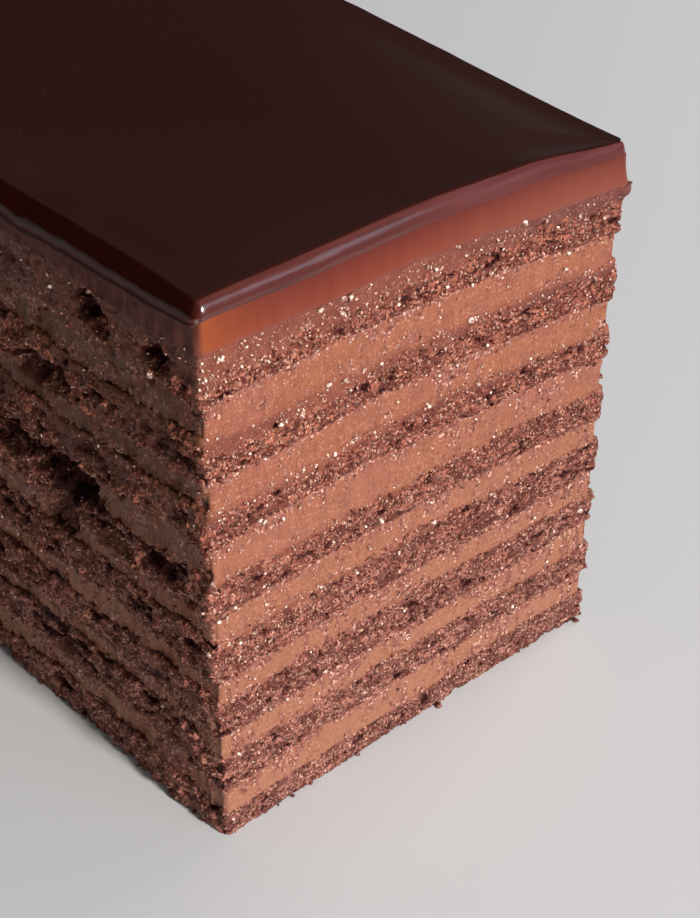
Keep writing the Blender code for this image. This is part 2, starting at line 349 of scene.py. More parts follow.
def closed_mesh(name, rows, features):
    """A closed mesh from rows of ring points, with a fan over each end. Features become attributes."""
    count, size = rows.shape[:2]
    ends = np.stack([rows[0].mean(axis=0), rows[-1].mean(axis=0)])
    points = np.concatenate([rows.reshape(-1, 3), ends])
    here = np.arange(size)
    following = (here + 1) % size
    base = np.arange(count - 1)[:, None] * size
    quads = [base + here, base + following, base + size + following, base + size + here]
    quads = np.stack(quads, axis=-1)
    under = np.stack([following, here, np.full(size, count * size)], axis=-1)
    last = (count - 1) * size
    over = np.stack([last + here, last + following, np.full(size, count * size + 1)], axis=-1)
    loops = np.concatenate([quads.ravel(), under.ravel(), over.ravel()])
    quad_count = quads.size // 4
    starts = np.concatenate([np.arange(quad_count) * 4, quad_count * 4 + np.arange(2 * size) * 3])
    body = body_of(name, points, loops, starts)
    body.data.shade_smooth()
    for key, values in features.items():
        made = body.data.attributes.new(key, "FLOAT", "POINT")
        flat = np.concatenate([values.ravel(), [0, 0]]).astype(np.float32)
        made.data.foreach_set("value", flat)
    return body


def place_rows(outline, heights, offsets):
    """Points of a wall: the ring pushed outwards by the offsets, row by row, then bent with the cut."""
    x = outline[:, 0] + outline[:, 2] * offsets
    y = outline[:, 1] + outline[:, 3] * offsets
    return cut_front(np.stack([x, y, heights], axis=-1))


def spots_of(outline, heights):
    """Wall points in millimetres, flattened, for the noise."""
    x = np.broadcast_to(outline[:, 0], heights.shape)
    y = np.broadcast_to(outline[:, 1], heights.shape)
    return np.stack([x, y, heights], axis=-1).reshape(-1, 3) / MM


def along_of(outline, shape):
    """Distance round the block in millimetres at each wall point, flattened."""
    return np.broadcast_to(distance_round(outline[:, 0], outline[:, 1]) / MM, shape).ravel()


def blobs(spots, cell, seed):
    """Rounded grains with creases between them, each at its own level; about -1 to 1."""
    distance, number = grains(spots / cell, seed)
    dome = np.sqrt(np.clip(1 - (distance / 0.95) ** 2, 0, 1))
    return dome - 0.6 + (number - 0.5), number


def crumb_relief(spots, left):
    """Relief of open crumb in millimetres: grains of three sizes, with pores between them."""
    warp = np.stack([waves(spots / 1.3, seed) for seed in (3, 5, 7)], axis=1) * 0.35
    bent = spots + warp
    large, _ = blobs(bent, 1.7, 13)
    middle, _ = blobs(bent, 0.85, 17)
    small, _ = blobs(bent, 0.48, 23)
    coarse = waves(spots / 6.5, 11)
    hollow = pores(bent / (2.3, 2.3, 1.3), 0.36, 29)
    relief = 0.16 * coarse + 0.16 * large + 0.20 * middle + 0.11 * small - 0.75 * hollow
    crack = smooth((0.13 - np.abs(waves(bent / (3.0, 3.0, 1.0), 31))) / 0.13)
    crack = crack * smooth((waves(spots / 3.6, 33) + 0.05) / 0.3)
    relief += 0.16 * layered(spots / (3.2, 3.2, 1.7), 35, 2) - 0.8 * crack
    lumps = layered(spots / (3.4, 3.4, 2.6), 37, 2)
    caves = pores(bent / (5.5, 5.5, 2.2), 0.42, 41)
    grain = 0.26 * large + 0.08 * middle + 0.04 * small
    return relief + left * (0.55 * coarse + 0.50 * lumps + grain - 1.6 * caves)


# Part of the way up each sponge at which the film of cream over its crumb begins
FILM_REACH = {14: 0.44, 12: 0.58, 10: 0.72, 8: 0.86, 6: 0.92, 4: 0.98, 2: 1.0, 0: 1.3}


def film_share(layer, spots, part, left):
    """Where the knife has dragged a film of cream over the crumb, from 0 to 1."""
    reach = FILM_REACH[layer]
    slow = waves(spots / (9, 9, 5), 43)
    quick = layered(spots / (1.6, 1.6, 1.1), 47, 3)
    across = np.clip(spots[:, 0] / 36, -1, 1)
    front = smooth((part - reach - 0.12 * across + 0.24 * slow + 0.26 * quick) / 0.14)
    streaks = waves(spots / (0.9, 0.9, 5.0), 53)
    more = 0.9 * part * (layer >= 10) + 0.62 * (layer == TOP - 2)
    side = smooth((0.5 * streaks + 0.8 * slow + 0.5 * quick - 0.30 + more) / 0.5)
    return front * (1 - left) + side * left * 0.85


def torn_places(spots, left):
    """Depth in metres of the torn places on the left side."""
    return tear_depth(spots[:, 1] * MM, spots[:, 2] * MM, spots) * left


def sponge_wall(layer, shape, pitch):
    """Rows of a sponge: granular crumb with ragged upper and lower edges, partly under a film of cream."""
    outline = ring_at(shape)
    x, y = outline[:, 0], outline[:, 1]
    front, right, back, left = weights(outline)
    low = surface_height(layer - 1, x, y)
    high = surface_height(layer, x, y)
    rim = np.stack([x, y, np.full(len(x), layer * 0.01)], axis=1) / MM
    rough = 0.15 + 0.11 * left
    high = high + rough * (layered(rim / 1.9, 61, 2) + 1.2 * blobs(rim, 0.5, 63)[0]) * MM
    if layer:
        low = low + rough * (layered(rim / 1.7, 67, 2) + 1.2 * blobs(rim, 0.55, 69)[0]) * MM
    below = 0.0 if layer == 0 else 0.45 * MM
    above = 0.0 if layer == TOP - 2 else 0.45 * MM
    count = max(6, round((high - low).mean() / pitch))
    heights = (low - below) + (high - low + below + above) * np.linspace(0, 1, count + 1)[:, None]
    part = (heights - low) / (high - low)
    proud = 0.14 * front + 0.85 * right + 0.4 * back + 0.3 * left
    spots = spots_of(outline, heights)
    lefts = np.broadcast_to(left, heights.shape).ravel()
    relief = crumb_relief(spots, lefts)
    torn = torn_places(spots, lefts)
    film = film_share(layer, spots, part.ravel(), lefts) * np.clip(1 - torn / (0.8 * MM), 0, 1)
    calm = -0.08 + 0.08 * waves(spots / 2.5, 71) + 0.06 * waves(spots / 0.8, 73)
    # Relief that still shows through the film on the torn side
    kept = 0.10 if layer == TOP - 2 else 0.45
    relief = relief * (1 - film * (0.85 - kept * lefts)) + calm * film * (1 - 0.6 * lefts)
    if layer == TOP - 2:
        proud = proud + (1.5 * right + 0.25 * back) * smooth(1 - ((high - heights) / MM - 0.9) / 1.9)
    under = (heights - low) / MM
    over = (high - heights) / MM
    ragged = np.maximum(left, layer == TOP - 2)
    upper = ragged * smooth((0.20 - over) / 0.65) + (1 - ragged) * smooth((-0.05 - over) / 0.40)
    roll = (0.55 - 0.25 * left) * np.maximum(smooth((0.20 - under) / 0.65), upper)
    offsets = (proud + relief.reshape(heights.shape) - roll) * MM - torn.reshape(heights.shape)
    offsets = np.clip(offsets, -6 * MM, 2.0 * MM)
    near_cream = np.exp(-np.clip(high - heights, 0, 1) / (0.9 * MM)) * (layer < TOP - 2)
    # The torn side's weight marks real smear and also paints shade there: the materials use it for darker,
    # shaded copies of their colours.
    features = {
        "level": relief.reshape(heights.shape) - torn.reshape(heights.shape) / MM * 0.25,
        "film": film.reshape(heights.shape),
        "fade": near_cream,
        "smear_and_shade": np.broadcast_to(left, heights.shape),
        "soft": np.clip(film.reshape(heights.shape) + 0.25 * left, 0, 1),
    }
    return heights, offsets, features


def cream_wall(layer, shape, pitch):
    """Rows of a cream: smooth, with knife streaks and gritty patches, running on behind the crumb."""
    outline = ring_at(shape)
    x, y = outline[:, 0], outline[:, 1]
    front, right, _, left = weights(outline)
    low = surface_height(layer - 1, x, y)
    high = surface_height(layer, x, y)
    tuck_in = 0.8 * MM
    count = max(6, round((high - low).mean() / pitch))
    part = np.linspace(0, 1, count + 1)[:, None]
    heights = low - tuck_in + (high - low + 2 * tuck_in) * part
    proud = 0.02 * front - 0.1 * right - 0.15 * left
    spots = spots_of(outline, heights)
    lefts = np.broadcast_to(left, heights.shape).ravel()
    along = along_of(outline, heights.shape)
    edge = (np.minimum(heights - low, high - heights) / MM).ravel()
    torn = torn_places(spots, lefts)
    slow = waves(spots / (7, 7, 3), 79)
    quick = layered(spots / 1.2, 83, 2)
    lowness = np.clip(1 - layer / 9, 0, 1)
    above = np.clip((high - heights) / MM, 0, 5).ravel()
    dragged = layered(spots / (1.1, 1.1, 2.6), 85, 2)
    near_edges = 0.45 * np.exp(-edge / 0.35) + 0.45 * np.exp(-above / 1.4)
    grit = smooth((0.55 * slow + 0.65 * dragged + near_edges - 0.24 + 0.22 * lowness) / 0.30)
    torn_grit = smooth((0.7 * slow + 0.8 * quick + 0.5 * np.exp(-edge / 0.9) + 0.10) / 0.45)
    grit = np.maximum(grit, torn_grit * lefts * 0.8)
    grit = np.maximum(grit, np.clip(torn / MM, 0, 1))
    fine = blobs(spots, 0.45, 89)[0]
    small = blobs(spots, 0.8, 91)[0]
    streaks = waves(np.stack([along / 0.75, spots[:, 2] / 9, along * 0], axis=1), 97)
    faint = waves(np.stack([along / 0.35, spots[:, 2] / 12, along * 0], axis=1), 101)
    pits = pores(spots / 1.3, 0.12, 103)
    relief = 0.10 * waves(spots / 6, 107) + 0.045 * faint + 0.03 * streaks + 0.035 * waves(spots / 0.7, 109)
    relief += grit * (0.12 * fine + 0.10 * small) - 0.22 * pits
    caves = smooth((layered(spots / (4.5, 4.5, 1.6), 111, 3) - 0.55) / 0.5)
    smears = 0.40 * waves(spots / 4, 113) + 0.34 * streaks + 0.16 * faint + 0.22 * small * grit
    relief += lefts * (smears - 1.5 * caves)
    tuck = (1.0 - 0.4 * lefts) * smooth((0.05 - edge) / 0.85)
    offsets = (proud + (relief - tuck).reshape(heights.shape)) * MM - torn.reshape(heights.shape)
    features = {
        "level": relief.reshape(heights.shape) - torn.reshape(heights.shape) / MM * 0.25,
        "grit": grit.reshape(heights.shape),
        "smear_and_shade": np.broadcast_to(left, heights.shape),
    }
    return heights, offsets, features


def with_caps(shape, heights, offsets, features):
    """Add rows at each end of a wall that run inwards over the slab's faces."""
    outline = ring_at(shape)
    near = ring_at(shape, 0.003)
    wall = place_rows(outline, heights, offsets)
    flat = np.zeros((1, len(outline)))
    rows = np.concatenate([
        place_rows(near, heights[:1], flat), place_rows(outline, heights[:1], offsets[:1] - 0.4 * MM), wall,
        place_rows(outline, heights[-1:], offsets[-1:] - 0.4 * MM), place_rows(near, heights[-1:], flat),
    ])
    kept = {key: np.concatenate([v[:1], v[:1], v, v[-1:], v[-1:]]) for key, v in features.items()}
    return rows, kept


WALLS = {}


def build_layer(layer):
    """One sponge or cream, with its fine surface."""
    name = LAYERS[layer]
    if name.startswith("sponge"):
        shape = ring(0.00022, 0.0007, 0.0006)
        wall = sponge_wall(layer, shape, 0.000225)
    else:
        shape = ring(0.00034, 0.0009, 0.0008)
        wall = cream_wall(layer, shape, 0.00033)
    rows, features = with_caps(shape, *wall)
    body = closed_mesh(name + "_look", rows, features)
    finish_piece(body, name, name.split("_")[0])
    walls = {key: values[2:-2] for key, values in features.items()}
    WALLS[name] = {"rows": rows[2:-2], "outline": ring_at(shape), **walls}


def build_ganache():
    """The ganache: a calm wall with drag marks, whose foot hangs out over the top sponge."""
    layer = TOP - 1
    shape = ring(0.0004, 0.0010, 0.0009)
    outline = ring_at(shape)
    x, y = outline[:, 0], outline[:, 1]
    front, right, back, left = weights(outline)
    rim = np.stack([x, y, x * 0], axis=1) / MM
    low = surface_height(layer - 1, x, y) + (0.20 * layered(rim / 2.6, 127, 2) - 0.30) * MM
    high = surface_height(layer, x, y) + 0.5 * MM
    part = np.linspace(0, 1, 19)[:, None]
    heights = low + (high - low) * part
    skirt = 0.15 * front + 1.1 * right + 0.6 * back + 0.45 * left
    flush = 0.07 * front + 0.80 * right + 0.40 * back
    spots = spots_of(outline, heights)
    along = along_of(outline, heights.shape)
    streaks = waves(np.stack([along / 0.8, spots[:, 2] / 12, along * 0], axis=1), 131)
    calm = waves(spots / 6, 137)
    rubbed = layered(spots / (0.9, 0.9, 2.4), 133, 2)
    lefts = np.broadcast_to(left, heights.shape).ravel()
    flare = skirt * (1 - part) ** 2
    lip = 0.25 * np.clip(1 - (heights - low) / (0.4 * MM), 0, 1) ** 2
    tuck = 0.6 * smooth(1 - (high - heights) / (0.6 * MM))
    relief = 0.02 * streaks + 0.06 * calm + lefts * (0.08 * streaks + 0.24 * rubbed)
    offsets = (flush + flare + relief.reshape(heights.shape) - lip - tuck) * MM
    # Painted glow: the front left corner of the ganache lit orange, as where light shines through it.
    painted_glow = np.exp(-np.hypot(x + WIDTH / 2, y + LENGTH / 2) / (6 * MM)) * front
    pale = 0.55 * front * smooth((x + 0.010) / 0.040) * (1 - part) ** 0.7
    rise = (heights - low) / MM + 0.35 * layered(spots / 1.5, 135, 3).reshape(heights.shape)
    rows, features = with_caps(shape, heights, offsets, {
        "painted_glow": np.broadcast_to(painted_glow, heights.shape),
        "pale": pale,
        "part": np.broadcast_to(part, heights.shape),
        "foot": smooth(1 - (rise - 0.1) / 0.8),
        "smear_and_shade": np.broadcast_to(left, heights.shape),
    })
    body = closed_mesh("ganache_look", rows, features)
    finish_piece(body, "ganache", "ganache")


def top_height(x, y):
    """Height of the top surface away from its rim, sinking towards the front right corner."""
    across = np.clip(2 * x / WIDTH, 0, 1) ** 2.3
    along = smooth(1 - (y + LENGTH / 2) / SAG_LENGTH)
    return 0.996 * HEIGHT - SAG * across * along


# Half section of the glaze's rim: how far in from the outline on the cut sides and on the left side, in
# parts of its thickness, and what part of the way up
RIM_SECTION = (
    (0.240, 0.200, 0.000), (0.100, 0.080, 0.010), (0.025, 0.020, 0.040), (0.000, 0.000, 0.090),
    (0.003, 0.004, 0.140), (0.020, 0.009, 0.200), (0.045, 0.022, 0.300), (0.080, 0.042, 0.400),
    (0.125, 0.080, 0.500), (0.180, 0.126, 0.600), (0.250, 0.174, 0.700), (0.315, 0.214, 0.780),
    (0.395, 0.256, 0.860), (0.450, 0.280, 0.905), (0.510, 0.302, 0.945), (0.560, 0.320, 0.970),
    (0.610, 0.342, 0.988), (0.660, 0.380, 1.000),
)

# Part of the way up at which the painted shadow under the glaze's lip lies, on the torn side
LIP_SHADOW_UP = 0.200

# How far in the rings of the glaze's top lie, in millimetres
TOP_RINGS = (0.8, 1.1, 1.6, 2.4, 3.6, 5.2, 7.4, 9.8, 13, 17, 21, 25, 29, 32)


def build_glaze():
    """The mirror glaze: a rounded lip, a cut rim that leans back, a crisp edge and a calm top.

    On the torn side it drapes thinly over the ganache, with a painted shadow as a dark line along the thin
    part.
    """
    shape = ring(0.0005, 0.0012, 0.0015)
    outline = ring_at(shape)
    x, y = outline[:, 0], outline[:, 1]
    front, right, back, left = weights(outline)
    rim = np.stack([x, y, x * 0], axis=1) / MM
    foot = surface_height(TOP - 1, x, y) + (0.16 * layered(rim / 5, 139, 2) - GLAZE_DRAPE * left) * MM
    edge_top = surface_height(TOP, x, y)
    thick = edge_top - foot
    proud = 0.22 * front + 0.55 * left + 0.88 * right + 0.50 * back
    swell = (proud + (0.10 - 0.06 * front) * waves(rim / 6, 149)) * MM
    lip = 1 + (0.05 * front + 0.10 * left + 0.1 * right) * layered(rim / 6, 157, 2)
    matt = front * smooth((x + 0.010) / 0.024)
    rows = []
    for inward, inward_left, up in RIM_SECTION:
        wall = up * (lip if up < 0.3 else lip + (1 - lip) * (up - 0.28) / 0.72)
        drawn = ring_at(shape, (inward + (inward_left - inward) * left) * (1 - 0.4 * right) * thick)
        heights = foot + thick * wall
        spots = np.stack([distance_round(x, y) / MM / 9, np.full(len(x), up * 9), np.zeros(len(x))], axis=1)
        drag = 0.03 * MM * waves(spots, 163)
        rows.append(place_rows(drawn, heights[None], (swell + drag * (0.3 < up < 0.9))[None])[0])
    for inward in TOP_RINGS:
        share = smooth((inward - 1) / 8)
        start = (0.66 - 0.28 * left) * (1 - 0.4 * right) * thick - 0.6 * MM
        drawn = ring_at(shape, start * (1 - share) + inward * MM)
        blend = smooth((inward - 1) / 7)
        level = edge_top * (1 - blend) + top_height(drawn[:, 0], drawn[:, 1]) * blend
        fade = smooth(1 - inward / 5)
        rows.append(place_rows(drawn, level[None], (swell * fade)[None])[0])
    under = place_rows(ring_at(shape, 0.003), foot[None], np.zeros((1, len(x))))
    rows = np.concatenate([under, np.stack(rows)])
    section = [up for _, _, up in RIM_SECTION]
    ups = np.array(section[:1] + section + [1.0] * len(TOP_RINGS))[:, None]
    cut = (front + right) * (ups < 0.93)
    body = closed_mesh("glaze_look", rows, {
        "cut": cut, "matt": cut * matt, "drape": left * (ups < 0.35), "lip_shadow": left * (ups == LIP_SHADOW_UP),
    })
    finish_piece(body, "glaze", "glaze")


# Small things joined into one mesh for each kind


def bead_form(steps):
    """Points and triangles of a plain round bead."""
    form = bmesh.new()
    bmesh.ops.create_icosphere(form, subdivisions=steps, radius=1.0)
    points = np.array([v.co for v in form.verts])
    faces = np.array([[v.index for v in f.verts] for f in form.faces])
    form.free()
    return points, faces


def turned(count, chance):
    """Random turns, as matrices."""
    quats = chance.normal(size=(count, 4))
    w, x, y, z = (quats / np.linalg.norm(quats, axis=1, keepdims=True)).T
    return np.stack([
        np.stack([1 - 2 * (y * y + z * z), 2 * (x * y - z * w), 2 * (x * z + y * w)], axis=1),
        np.stack([2 * (x * y + z * w), 1 - 2 * (x * x + z * z), 2 * (y * z - x * w)], axis=1),
        np.stack([2 * (x * z - y * w), 2 * (y * z + x * w), 1 - 2 * (x * x + y * y)], axis=1),
    ], axis=1)


def joined_beads(name, centres, sizes, steps, stretch, rough, chance):
    """One mesh of many beads, each stretched, roughened and turned its own way."""
    form, faces = bead_form(steps)
    count = len(centres)
    scale = sizes[:, None] * (1 + stretch * (chance.random((count, 3)) - 0.5))
    local = form[None] * scale[:, None]
    local = np.einsum("nij,nkj->nki", turned(count, chance), local)
    spots = (local / sizes[:, None, None] * 1.3 + np.arange(count)[:, None, None] * 7.7).reshape(-1, 3)
    local *= (1 + rough * waves(spots, 151)).reshape(count, -1, 1)
    points = (centres[:, None] + local).reshape(-1, 3)
    points[:, 2] = np.maximum(points[:, 2], 0.00003)
    triangles = (faces[None] + np.arange(count)[:, None, None] * len(form)).reshape(-1, 3)
    body = body_of(name, points, triangles.ravel(), np.arange(len(triangles)) * 3)
    if steps > 1:
        body.data.shade_smooth()
    body.data.materials.append(MATERIALS[name])
    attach(body, "root")


def pick_on_walls(amount, weigh, chance):
    """Places on the walls, drawn by a weight for each wall point, with the outward directions there."""
    found = []
    for name, wall in WALLS.items():
        weight = weigh(name, wall)
        found.append((name, weight.sum()))
    total = sum(share for _, share in found)
    places = []
    outs = []
    for name, share in found:
        wall = WALLS[name]
        count = round(amount * share / total)
        if not count:
            continue
        weight = weigh(name, wall).ravel()
        picked = chance.choice(weight.size, size=count, p=weight / weight.sum())
        places.append(wall["rows"].reshape(-1, 3)[picked])
        outs.append(wall["outline"][picked % len(wall["outline"]), 2:])
    flat = np.concatenate(outs)
    return np.concatenate(places), np.hstack([flat, np.zeros((len(flat), 1))])


def area_share(wall):
    """Share of the surface that each wall point stands for: the fine stretches count less per point."""
    ring_points = wall["rows"].mean(axis=0)
    gap = np.linalg.norm(ring_points - np.roll(ring_points, 1, axis=0), axis=1)
    return np.broadcast_to(gap, wall["rows"].shape[:2])


def droplet_weight(name, wall):
    """Droplets gather in the film over the crumb, mostly on the left part of the front and higher up."""
    front, right, back, left = weights(wall["outline"])
    part = np.clip(wall["outline"][:, 0] / WIDTH + 0.5, 0, 1)
    side = front * (1.4 - 0.8 * part) + 0.20 * left + 0.10 * right + 0.05 * back
    if name.startswith("sponge"):
        amount = 0.22 + wall["film"] * 0.9
        amount = amount * (0.25 + 0.15 * int(name[-1]))
    else:
        amount = (0.14 + 0.50 * wall["grit"]) * (0.4 + 0.1 * int(name[-1]))
    points = wall["rows"].reshape(-1, 3) / MM
    patchy = 0.55 + 1.2 * smooth((waves(points / 2.2, 173) + 0.15) / 0.5).reshape(wall["rows"].shape[:2])
    return area_share(wall) * amount * side * patchy


def crumb_weight(name, wall):
    """Loose crumbs stick to the cream and stand out at the front right edge."""
    front, right, back, left = weights(wall["outline"])
    x, y = wall["outline"][:, 0], wall["outline"][:, 1]
    near_edge = np.exp(-((x - WIDTH / 2) ** 2 + (y + LENGTH / 2) ** 2) / 4e-6)
    side = 0.5 * front + 1.0 * left + 0.5 * right + 0.5 * back + 4 * near_edge
    if name.startswith("sponge"):
        return area_share(wall) * side * 0.25
    return area_share(wall) * side * (0.12 + wall["grit"])


def build_scatter():
    """Droplets on the cut, crumbs on the walls and crumbs along the foot."""
    chance = np.random.default_rng(20)
    places, outs = pick_on_walls(DROPLETS, droplet_weight, chance)
    sizes = 0.13 * MM + 0.34 * MM * chance.random(len(places)) ** 2.5
    joined_beads("droplets", places + outs * sizes[:, None] * 0.3, sizes, 2, 0.9, 0.22, chance)
    places, outs = pick_on_walls(GLINTS, droplet_weight, chance)
    sizes = 0.06 * MM + 0.19 * MM * chance.random(len(places)) ** 2.5
    joined_beads("glints", places + outs * sizes[:, None] * 0.5, sizes, 1, 1.2, 0.0, chance)
    places, outs = pick_on_walls(WALL_CRUMBS, crumb_weight, chance)
    sizes = 0.16 * MM + 0.26 * MM * chance.random(len(places)) ** 2
    foot = foot_places(chance.random(FOOT_CRUMBS) * 2 * (WIDTH + LENGTH), chance)
    foot_sizes = 0.16 * MM + 0.30 * MM * chance.random(len(foot)) ** 2
    foot[:, 2] = foot_sizes * 0.6
    joined_beads("wall_crumbs", places + outs * sizes[:, None] * 0.3, sizes, 1, 0.8, 0.5, chance)
    joined_beads("foot_crumbs", foot, foot_sizes, 2, 0.8, 0.45, chance)


def foot_places(along, chance):
    """Places on the floor close to the foot of the block."""
    shape = ring_at(ring(0.0004, 0.0006, 0.0006))
    place = distance_round(shape[:, 0], shape[:, 1])
    order = np.argsort(place)
    index = order[np.clip(np.searchsorted(place[order], along), 0, len(order) - 1)]
    spread = (0.1 + 0.9 * chance.random(len(along)) ** 2.5) * MM
    points = shape[index, :2] + shape[index, 2:] * spread[:, None]
    return cut_front(np.hstack([points, np.zeros((len(along), 1))]))


# Materials


def shader_of(name):
    """A new material and its main shader."""
    made = bpy.data.materials.new(name)
    made.use_nodes = True
    return made, made.node_tree, made.node_tree.nodes["Principled BSDF"]


def node(tree, kind, **settings):
    """A new node with its settings and input values."""
    made = tree.nodes.new(kind)
    for key, value in settings.items():
        if key in made.inputs:
            made.inputs[key].default_value = value
        else:
            setattr(made, key, value)
    return made


def attribute(tree, name):
    """The value that a mesh attribute gives."""
    return node(tree, "ShaderNodeAttribute", attribute_name=name).outputs["Fac"]


def noise_at(tree, scale, detail, stretch=None):
    """Noise over the piece, in its own coordinates."""
    made = node(tree, "ShaderNodeTexNoise", Scale=scale, Detail=detail)
    place = node(tree, "ShaderNodeTexCoord").outputs["Object"]
    if stretch:
        mapping = node(tree, "ShaderNodeMapping", Scale=stretch)
        tree.links.new(place, mapping.inputs["Vector"])
        place = mapping.outputs["Vector"]
    tree.links.new(place, made.inputs["Vector"])
    return made.outputs["Fac"]


def between(tree, value, start, end, low, high):
    """A value carried from one range to another."""
    made = node(tree, "ShaderNodeMapRange")
    for key, number in zip(("From Min", "From Max", "To Min", "To Max"), (start, end, low, high)):
        made.inputs[key].default_value = number
    tree.links.new(value, made.inputs["Value"])
    return made.outputs["Result"]


def part_of(tree, value, most):
    """A value from 0 to 1 scaled to run from 0 to the most given."""
    return between(tree, value, 0, 1, 0, most)


def patches_at(tree, scale, detail, stretch=None):
    """Noise stretched to run from 0 to 1."""
    return between(tree, noise_at(tree, scale, detail, stretch), 0.35, 0.65, 0, 1)


def mixed(tree, share, first, second):
    """Two colours mixed by a share. Each may be a colour or an output."""
    made = node(tree, "ShaderNodeMix", data_type="RGBA")
    tree.links.new(share, made.inputs[0])
    for socket, colour in ((made.inputs[6], first), (made.inputs[7], second)):
        if isinstance(colour, tuple):
            socket.default_value = (*colour, 1)
        else:
            tree.links.new(colour, socket)
    return made.outputs[2]


def facets(tree, scale, tilt):
    """Surface direction broken into small flat facets, each tilted its own way; and a number for each."""
    cells = node(tree, "ShaderNodeTexVoronoi", Scale=scale)
    tree.links.new(node(tree, "ShaderNodeTexCoord").outputs["Object"], cells.inputs["Vector"])
    centred = node(tree, "ShaderNodeVectorMath", operation="SUBTRACT")
    centred.inputs[1].default_value = (0.5, 0.5, 0.5)
    tree.links.new(cells.outputs["Color"], centred.inputs[0])
    scaled = node(tree, "ShaderNodeVectorMath", operation="SCALE")
    tree.links.new(centred.outputs[0], scaled.inputs[0])
    if isinstance(tilt, float):
        scaled.inputs["Scale"].default_value = tilt
    else:
        tree.links.new(tilt, scaled.inputs["Scale"])
    added = node(tree, "ShaderNodeVectorMath", operation="ADD")
    tree.links.new(node(tree, "ShaderNodeNewGeometry").outputs["Normal"], added.inputs[0])
    tree.links.new(scaled.outputs[0], added.inputs[1])
    unit = node(tree, "ShaderNodeVectorMath", operation="NORMALIZE")
    tree.links.new(added.outputs[0], unit.inputs[0])
    parts = node(tree, "ShaderNodeSeparateXYZ")
    tree.links.new(cells.outputs["Color"], parts.inputs[0])
    return unit.outputs[0], parts.outputs[0], parts.outputs[1]


def position(tree, axis):
    """Place along an axis of the block: 0 across, 1 along, 2 up."""
    parts = node(tree, "ShaderNodeSeparateXYZ")
    tree.links.new(node(tree, "ShaderNodeTexCoord").outputs["Object"], parts.inputs[0])
    return parts.outputs[axis]


def product(tree, first, second):
    """Two values multiplied."""
    made = node(tree, "ShaderNodeMath", operation="MULTIPLY")
    tree.links.new(first, made.inputs[0])
    tree.links.new(second, made.inputs[1])
    return made.outputs[0]


def cream_colour(tree):
    """Mottled brown of the cream, in faint streaks that run down."""
    streaks = patches_at(tree, 900, 2, (1, 1, 0.10))
    slow = patches_at(tree, 75, 2)
    mottle = between(tree, noise_at(tree, 330, 3, (1, 1, 1.3)), 0.40, 0.66, 0, 1)
    colour = mixed(tree, slow, (0.218, 0.072, 0.033), (0.222, 0.071, 0.048))
    colour = mixed(tree, part_of(tree, mottle, 0.8), colour, (0.165, 0.052, 0.034))
    colour = mixed(tree, part_of(tree, streaks, 0.35), colour, (0.290, 0.108, 0.066))
    low = between(tree, position(tree, 2), 0.060, 0.0, 0, 0.80)
    colour = mixed(tree, low, colour, (0.268, 0.118, 0.072))
    # Torn side: rubbed streaks of real smear whose colour also paints a sheen, then painted shade, the cream
    # darker from 28 mm up that side.
    rubbed = between(tree, noise_at(tree, 800, 3, (1, 1, 0.16)), 0.52, 0.62, 0, 0.6)
    smear_and_shade = attribute(tree, "smear_and_shade")
    colour = mixed(tree, product(tree, rubbed, smear_and_shade), colour, (0.150, 0.066, 0.040))
    shaded = between(tree, position(tree, 2), 0.028, 0.055, 0, 0.80)
    return mixed(tree, product(tree, shaded, smear_and_shade), colour, (0.075, 0.028, 0.013))


def sponge_material():
    """Moist chocolate crumb: painted shade in its pores and tears, paler on its grains with painted glints on
    a few, greyer under the film of cream.
    """
    made, tree, shader = shader_of("sponge_look")
    level = attribute(tree, "level")
    film = attribute(tree, "film")
    tilt = between(tree, attribute(tree, "soft"), 0, 1, 1.6, 0.55)
    direction, first, second = facets(tree, 3600, tilt)
    patches = patches_at(tree, 300, 3)
    clumps = between(tree, noise_at(tree, 420, 2, (1, 1, 1.8)), 0.42, 0.60, 0, 1)
    low = between(tree, position(tree, 2), 0.060, 0.0, 0, 1)
    dark = mixed(tree, low, (0.050, 0.010, 0.007), (0.072, 0.023, 0.020))
    pale = mixed(tree, low, (0.375, 0.126, 0.080), (0.405, 0.176, 0.137))
    crumb = mixed(tree, between(tree, first, 0.2, 0.8, 0, 1), dark, pale)
    crumb = mixed(tree, part_of(tree, patches, 0.30), crumb, (0.185, 0.052, 0.040))
    crumb = mixed(tree, between(tree, clumps, 0, 1, 0.70, 0), crumb, (0.066, 0.014, 0.012))
    # Painted glints: a few grains coloured pale pink.
    crumb = mixed(tree, between(tree, second, 0.82, 0.93, 0, 0.85), crumb, (0.700, 0.390, 0.292))
    # Painted shade: darker in pores, cracks and tears.
    crumb = mixed(tree, between(tree, level, -0.05, -0.40, 0, 0.94), crumb, (0.024, 0.003, 0.004))
    skin = mixed(tree, patches, (0.174, 0.054, 0.034), (0.120, 0.036, 0.025))
    skin = mixed(tree, between(tree, position(tree, 0), -0.005, 0.025, 0, 0.7), skin, (0.088, 0.030, 0.029))
    # Torn side: the film darker, partly painted shade.
    skin = mixed(tree, part_of(tree, attribute(tree, "smear_and_shade"), 0.7), skin, (0.092, 0.038, 0.032))
    skin = mixed(tree, between(tree, attribute(tree, "fade"), 0.25, 0.9, 0, 0.95), skin, cream_colour(tree))
    colour = mixed(tree, between(tree, film, 0.1, 0.9, 0, 0.88), crumb, skin)
    tree.links.new(colour, shader.inputs["Base Color"])
    shader.inputs["Specular IOR Level"].default_value = 0.09
    tree.links.new(between(tree, second, 0.45, 0.75, 0.60, 0.30), shader.inputs["Roughness"])
    tree.links.new(direction, shader.inputs["Normal"])
    return made


